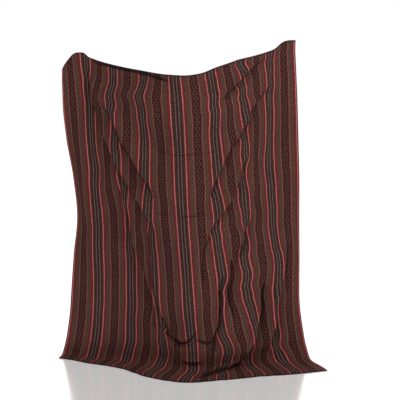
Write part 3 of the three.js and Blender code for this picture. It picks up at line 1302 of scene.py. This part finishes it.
@dataclass(frozen=True)
class Ladders:
    """Rungs of dark stitches at a small pitch, fainter between a ladder's two rails.

    Attributes:
        pitch: From one rung to the next.
        rung: How much of the pitch is left light.
        rail: Between which distances from the middle of the nearest diamond band a rail lies.
        rail_shade: How dark a rung is on a rail, from 0 to 1.
        begins: At what distance the ladder's band begins.
        shade: How dark a rung is elsewhere in the band.
    """

    pitch: float = 0.0102
    rung: float = 0.50
    rail: tuple[float, float] = (0.0795, 0.0918)
    rail_shade: float = 0.62
    begins: float = 0.0700
    shade: float = 0.36

    def weave(self, nodes: Nodes, colour: Socket, across: Socket, down: Socket, yarns: Yarns) -> Socket:
        """Weave the rungs into their band.

        Args:
            nodes: The material's nodes.
            colour: The stripes' colour.
            across: Distance from the middle of the nearest diamond band.
            down: Distance from the top edge.
            yarns: The colours.

        Returns:
            The colour with the rungs in it.
        """
        dark = nodes.math("GREATER_THAN", nodes.wave(down, self.pitch), self.rung)
        rails = nodes.math("MULTIPLY", nodes.between(across, *self.rail), self.rail_shade)
        band = nodes.math("MULTIPLY", nodes.math("GREATER_THAN", across, self.begins), self.shade)
        rungs = nodes.math("MULTIPLY", dark, nodes.math("MAXIMUM", rails, band))
        return nodes.mix(rungs, colour, linear(*yarns.black))


@dataclass(frozen=True)
class CreaseShade:
    """Painted shade in the creases, which comes and goes along their length.

    Attributes:
        width: How far from a crease the painted shade has fallen to a third.
        shade: How dark the painted shade in a crease is, from 0 to 1.
        faintest: The least share of its depth that a crease keeps.
        unevenness: How a crease's share of its depth varies.
    """

    width: float = 0.0055
    shade: float = 0.92
    faintest: float = 0.25
    unevenness: Unevenness = Unevenness((9.0, 9.0), 1.0, 3.0, -0.7)

    def shadow(self, nodes: Nodes, colour: Socket, cloth: Socket, yarns: Yarns) -> Socket:
        """Paint shade into each crease by exp(-(distance / width)^2).

        A shallow crease is fainter, and one with a depth over 1 is wider.

        Args:
            nodes: The material's nodes.
            colour: The cloth's colour.
            cloth: The place on the cloth.
            yarns: The colours.

        Returns:
            The colour with painted shade in the creases.
        """
        distance = nodes.add("ShaderNodeAttribute", attribute_name="crease_distance").outputs["Fac"]
        depth = nodes.add("ShaderNodeAttribute", attribute_name="crease_shade_depth").outputs["Fac"]
        width = nodes.math("MULTIPLY", nodes.math("MAXIMUM", depth, 1.0), self.width)
        share = nodes.math("DIVIDE", distance, width)
        bell = nodes.math("EXPONENT", nodes.math("MULTIPLY", nodes.math("MULTIPLY", share, share), -1.0))
        kept = nodes.math("MAXIMUM", self.unevenness.spread(nodes, cloth), self.faintest)
        held = nodes.math("MINIMUM", nodes.math("MULTIPLY", depth, kept), 1.0)
        dark = nodes.math("MULTIPLY", nodes.math("MULTIPLY", held, self.shade), bell)
        return nodes.mix(dark, colour, linear(*yarns.black))


@dataclass(frozen=True)
class StripedCotton:
    """The woven pattern: salmon lines between diamond bands and ladder bands.

    The repeat is the same on both sides of the middle of each diamond band, so it is read from the
    distance to the nearest such middle.

    Attributes:
        drape: The form in which the cloth hangs.
        hem: Its hems.
        yarns: The colours.
        diamonds: The lattice in the diamond bands.
        ladders: The rungs in the ladder bands.
        creases: The painted shade in the creases.
        first_diamond: How far the middle of the first diamond band is from the left edge.
        repeat: From one diamond band's middle to the next.
        stray: How far the yarns stray to one side.
        streaks: How bright the yarns are: in thin streaks, in short slubs and in faded patches.
        warp_pitch: From one warp yarn to the next.
        weft_pitch: From one weft yarn to the next.
        relief: How far the yarns stand up.
        relief_share: How much of that the light shows.
        roughness: How matt the cloth is.
        gloss: How much it mirrors.
    """

    drape: Drape
    hem: Hem
    yarns: Yarns = Yarns()
    diamonds: Diamonds = Diamonds()
    ladders: Ladders = Ladders()
    creases: CreaseShade = CreaseShade()
    first_diamond: float = 0.0733
    repeat: float = 0.19333
    stray: Unevenness = Unevenness((200.0, 45.0), 2.0, 0.0022, -0.0011)
    streaks: tuple[Unevenness, ...] = (
        Unevenness((520.0, 7.0), 2.0, 0.90, 0.53),
        Unevenness((150.0, 100.0), 2.0, 1.50, 0.20),
        Unevenness((4.0, 4.0), 3.0, 0.30, 0.85),
    )
    warp_pitch: float = 0.0011
    weft_pitch: float = 0.0019
    relief: float = 0.0006
    relief_share: float = 0.35
    roughness: float = 0.92
    gloss: float = 0.10

    def stripes(self) -> list[tuple[float, tuple[int, int, int]]]:
        """List the stripes from the middle of a diamond band to the middle of a ladder band.

        Returns:
            Where each begins, in millimetres from the diamond band's middle, and its colour.
        """
        yarns = self.yarns
        return [
            (0.0, yarns.brown),
            (16.5, yarns.maroon),
            (22.8, yarns.pink),
            (27.0, yarns.olive),
            (42.0, yarns.mauve),
            (50.5, yarns.red),
            (62.9, yarns.salmon),
            (67.7, yarns.russet),
            (72.0, yarns.umber),
            (85.6, yarns.lilac),
            (91.2, yarns.plum),
        ]

    def material(self) -> bpy.types.Material:
        """Make the material.

        Returns:
            The finished material.
        """
        made = bpy.data.materials.new("striped_cotton")
        nodes = Nodes(made)
        cloth = nodes.add("ShaderNodeUVMap", uv_map="cloth").outputs[0]
        split = nodes.add("ShaderNodeSeparateXYZ", {0: cloth}).outputs
        along, down = split[0], split[1]

        strayed = nodes.math("ADD", along, self.stray.spread(nodes, cloth))
        off = nodes.math("ABSOLUTE", nodes.math("SUBTRACT", strayed, self.first_diamond))
        across = nodes.math("PINGPONG", off, self.repeat / 2)
        share = nodes.math("DIVIDE", across, self.repeat / 2)
        stops = [(start * MM / (self.repeat / 2), linear(*colour)) for start, colour in self.stripes()]
        colour = nodes.bands(share, stops)
        colour = self.diamonds.weave(nodes, colour, across, down, self.yarns)
        colour = self.ladders.weave(nodes, colour, across, down, self.yarns)
        for streak in self.streaks:
            colour = nodes.mix(1.0, colour, streak.spread(nodes, cloth), "MULTIPLY")
        # Painted shade along the turned top and foot edges, darker selvedges and the hem stitches.
        colour = self.edges(nodes, colour, along, down)
        # Painted shade in the creases.
        colour = self.creases.shadow(nodes, colour, cloth, self.yarns)

        height = self.yarn_height(nodes, along, down)
        relief = {"Strength": self.relief_share, "Distance": self.relief, "Height": height}
        finish = {
            "Base Color": colour,
            "Normal": nodes.add("ShaderNodeBump", relief).outputs[0],
            "Roughness": self.roughness,
            "Specular IOR Level": self.gloss,
        }
        shader = nodes.add("ShaderNodeBsdfPrincipled", finish)
        nodes.add("ShaderNodeOutputMaterial", {0: shader.outputs[0]})
        return made

    def edges(self, nodes: Nodes, colour: Socket, along: Socket, down: Socket) -> Socket:
        """Paint shade along the turned edges at the top and the foot, darken the selvedges, and sew the hems
        with short stitches.

        Args:
            nodes: The material's nodes.
            colour: The cloth's colour.
            along: Place along the cloth's width.
            down: Distance from the top edge.

        Returns:
            The colour with painted shade at the top and foot, darker selvedges and the stitches.
        """
        hem, width, length = self.hem, self.drape.width, self.drape.length
        from_end = nodes.math("MINIMUM", down, nodes.math("SUBTRACT", length, down))
        from_side = nodes.math("MINIMUM", along, nodes.math("SUBTRACT", width, along))
        thread_share = hem.stitch_length / hem.stitch_pitch
        stitch = nodes.math("LESS_THAN", nodes.wave(along, hem.stitch_pitch), thread_share)
        half = hem.stitch_width / 2
        row = nodes.between(from_end, hem.stitch_in - half, hem.stitch_in + half)
        sewn = nodes.mix(nodes.math("MULTIPLY", row, stitch), colour, linear(*self.yarns.thread))
        # Painted shade along the turned edges at the top and the foot, and a darker edge at each side.
        top = nodes.math("LESS_THAN", down, hem.painted_shade_top)
        foot = nodes.math("GREATER_THAN", down, length - hem.painted_shade_foot)
        side = nodes.math("LESS_THAN", from_side, hem.dark_side)
        edge = nodes.math("MAXIMUM", nodes.math("MAXIMUM", top, foot), side)
        return nodes.mix(nodes.math("MULTIPLY", edge, hem.shade), sewn, linear(*self.yarns.black))

    def yarn_height(self, nodes: Nodes, along: Socket, down: Socket) -> Socket:
        """Raise each yarn where it passes over the one that it crosses.

        The height is the product of one sine along and one down the cloth, which stands up at
        every other crossing, as a plain weave does.

        Args:
            nodes: The material's nodes.
            along: Place along the cloth's width.
            down: Distance from the top edge.

        Returns:
            The height, from -1 to 1.
        """
        warp = nodes.math("SINE", nodes.math("MULTIPLY", along, math.pi / self.warp_pitch))
        weft = nodes.math("SINE", nodes.math("MULTIPLY", down, math.pi / self.weft_pitch))
        return nodes.math("MULTIPLY", warp, weft)


@dataclass(frozen=True)
class PaleFloor:
    """A smooth pale floor that mirrors the foot of the cloth faintly.

    Attributes:
        darkest: Its darkest tone, as 0 to 255 a channel.
        lightest: Its lightest tone.
        grain: How fine its tones are.
        detail: How many finer layers they have.
        roughness: How blurred its reflections are.
        metallic: How much of its colour comes from reflections.
        refraction: How strongly it mirrors at a low angle.
        glow: How much light it adds, so that it stays pale under the cloth.
    """

    darkest: tuple[int, int, int] = (236, 236, 236)
    lightest: tuple[int, int, int] = (242, 242, 242)
    grain: float = 6.0
    detail: float = 4.0
    roughness: float = 0.18
    metallic: float = 0.70
    refraction: float = 1.9
    glow: float = 0.36

    def material(self) -> bpy.types.Material:
        """Make the material.

        Returns:
            The finished material.
        """
        made = bpy.data.materials.new("pale_floor")
        nodes = Nodes(made)
        grain = nodes.add("ShaderNodeTexNoise", {"Scale": self.grain, "Detail": self.detail}).outputs[0]
        finish = {
            "Base Color": nodes.mix(grain, linear(*self.darkest), linear(*self.lightest)),
            "Roughness": self.roughness,
            "Metallic": self.metallic,
            "IOR": self.refraction,
            "Emission Color": linear(255, 255, 255),
            "Emission Strength": self.glow,
        }
        shader = nodes.add("ShaderNodeBsdfPrincipled", finish)
        nodes.add("ShaderNodeOutputMaterial", {0: shader.outputs[0]})
        return made


@dataclass(frozen=True)
class Lamp:
    """A square soft lamp.

    Attributes:
        name: What it is called.
        place: Where it stands, measured from the floor.
        watts: Its power.
        size: How long its sides are.
    """

    name: str
    place: tuple[float, float, float]
    watts: float
    size: float

    def build(self, aim: np.ndarray, origin: np.ndarray) -> None:
        """Put up the lamp.

        Args:
            aim: The place that it is turned to, measured from the floor.
            origin: Where the part's origin stands, measured from the floor.
        """
        data = bpy.data.lights.new(self.name, "AREA")
        data.energy = self.watts
        data.size = self.size
        lamp = bpy.data.objects.new(self.name, data)
        lamp.location = np.array(self.place) - origin
        right, ahead, up = aim - np.array(self.place)
        lamp.rotation_euler = (math.atan2(math.hypot(right, ahead), -up), 0.0, math.atan2(-right, ahead))
        bpy.context.scene.collection.objects.link(lamp)


@dataclass(frozen=True)
class Studio:
    """The plain pale floor, the soft light and the camera, with the floor at height zero.

    Attributes:
        camera_back: How far in front of the cloth the camera stands.
        camera_height: How high it stands.
        camera_pitch: How far down it looks, in radians.
        lens: Its focal length, in millimetres.
        sensor: The width of its sensor, in millimetres.
        floor_size: How long the floor's sides are.
        floor_gap: How far the floor lies below the cloth.
        floor_finish: The floor's finish.
        surround: How bright the even light is that falls on everything from all around.
        backdrop: How bright it looks to the camera and in reflections.
        aim: The place that the lamps are turned to.
        lamps: The soft lamps.
    """

    camera_back: float = 3.69
    camera_height: float = 1.353
    camera_pitch: float = math.radians(6.62)
    lens: float = 64.8
    sensor: float = 36.0
    floor_size: float = 60.0
    floor_gap: float = 0.0005
    floor_finish: PaleFloor = PaleFloor()
    surround: float = 0.22
    backdrop: float = 1.0
    aim: tuple[float, float, float] = (0.0, 0.0, 0.9)
    lamps: tuple[Lamp, ...] = (
        Lamp("left_softbox", (-1.3, -2.6, 4.3), 64.0, 1.4),
        Lamp("right_softbox", (2.5, -2.4, 3.4), 90.0, 1.4),
        Lamp("back_softbox", (0.0, 4.0, 3.6), 90.0, 2.5),
    )

    def build(self, origin: np.ndarray) -> None:
        """Put up the studio round the blanket.

        Args:
            origin: Where the part's origin stands, measured from the floor.
        """
        self.camera(origin)
        self.floor(origin)
        self.light()
        for lamp in self.lamps:
            lamp.build(np.array(self.aim), origin)
        bpy.context.scene.view_settings.view_transform = "Standard"

    def camera(self, origin: np.ndarray) -> None:
        """Look at the cloth's face, a little downwards.

        Args:
            origin: Where the part's origin stands, measured from the floor.
        """
        data = bpy.data.cameras.new("camera")
        data.sensor_width = self.sensor
        data.lens = self.lens
        view = bpy.data.objects.new("camera", data)
        view.location = np.array((0.0, -self.camera_back, self.camera_height)) - origin
        view.rotation_euler = (math.pi / 2 - self.camera_pitch, 0.0, 0.0)
        bpy.context.scene.collection.objects.link(view)
        bpy.context.scene.camera = view

    def floor(self, origin: np.ndarray) -> None:
        """Lay a wide pale floor just under the cloth.

        Args:
            origin: Where the part's origin stands, measured from the floor.
        """
        half = self.floor_size / 2
        corners = np.array([(-half, -half), (half, -half), (half, half), (-half, half)])
        level = np.full((len(corners), 1), -self.floor_gap)
        data = bpy.data.meshes.new("floor")
        data.from_pydata((np.hstack([corners, level]) - origin).tolist(), [], [(0, 1, 2, 3)])
        data.materials.append(self.floor_finish.material())
        ground = bpy.data.objects.new("floor", data)
        bpy.context.scene.collection.objects.link(ground)

    def light(self) -> None:
        """Surround everything with an even pale light, which looks white where it is seen itself."""
        world = bpy.data.worlds.new("studio")
        nodes = Nodes(world)
        ray = nodes.add("ShaderNodeLightPath").outputs
        seen = nodes.math("MAXIMUM", ray["Is Camera Ray"], ray["Is Glossy Ray"])
        limits = {"Value": seen, "To Min": self.surround, "To Max": self.backdrop}
        strength = nodes.add("ShaderNodeMapRange", limits).outputs[0]
        pale = nodes.add("ShaderNodeBackground", {"Color": linear(255, 255, 255), "Strength": strength})
        nodes.add("ShaderNodeOutputWorld", {0: pale.outputs[0]})
        bpy.context.scene.world = world


def main() -> None:
    """Build the studio and the blanket, dress it and say what each piece is."""
    logging.basicConfig(level=logging.INFO, format="%(message)s")
    blanket = Blanket()
    Studio().build(blanket.origin())
    cloth = blanket.build()
    blanket.dress(cloth)
    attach(cloth, "root")
    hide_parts("blanket")
    LOG.info("%s: %d patches", cloth.name, len(cloth.data.polygons))


if __name__ == "__main__":
    main()
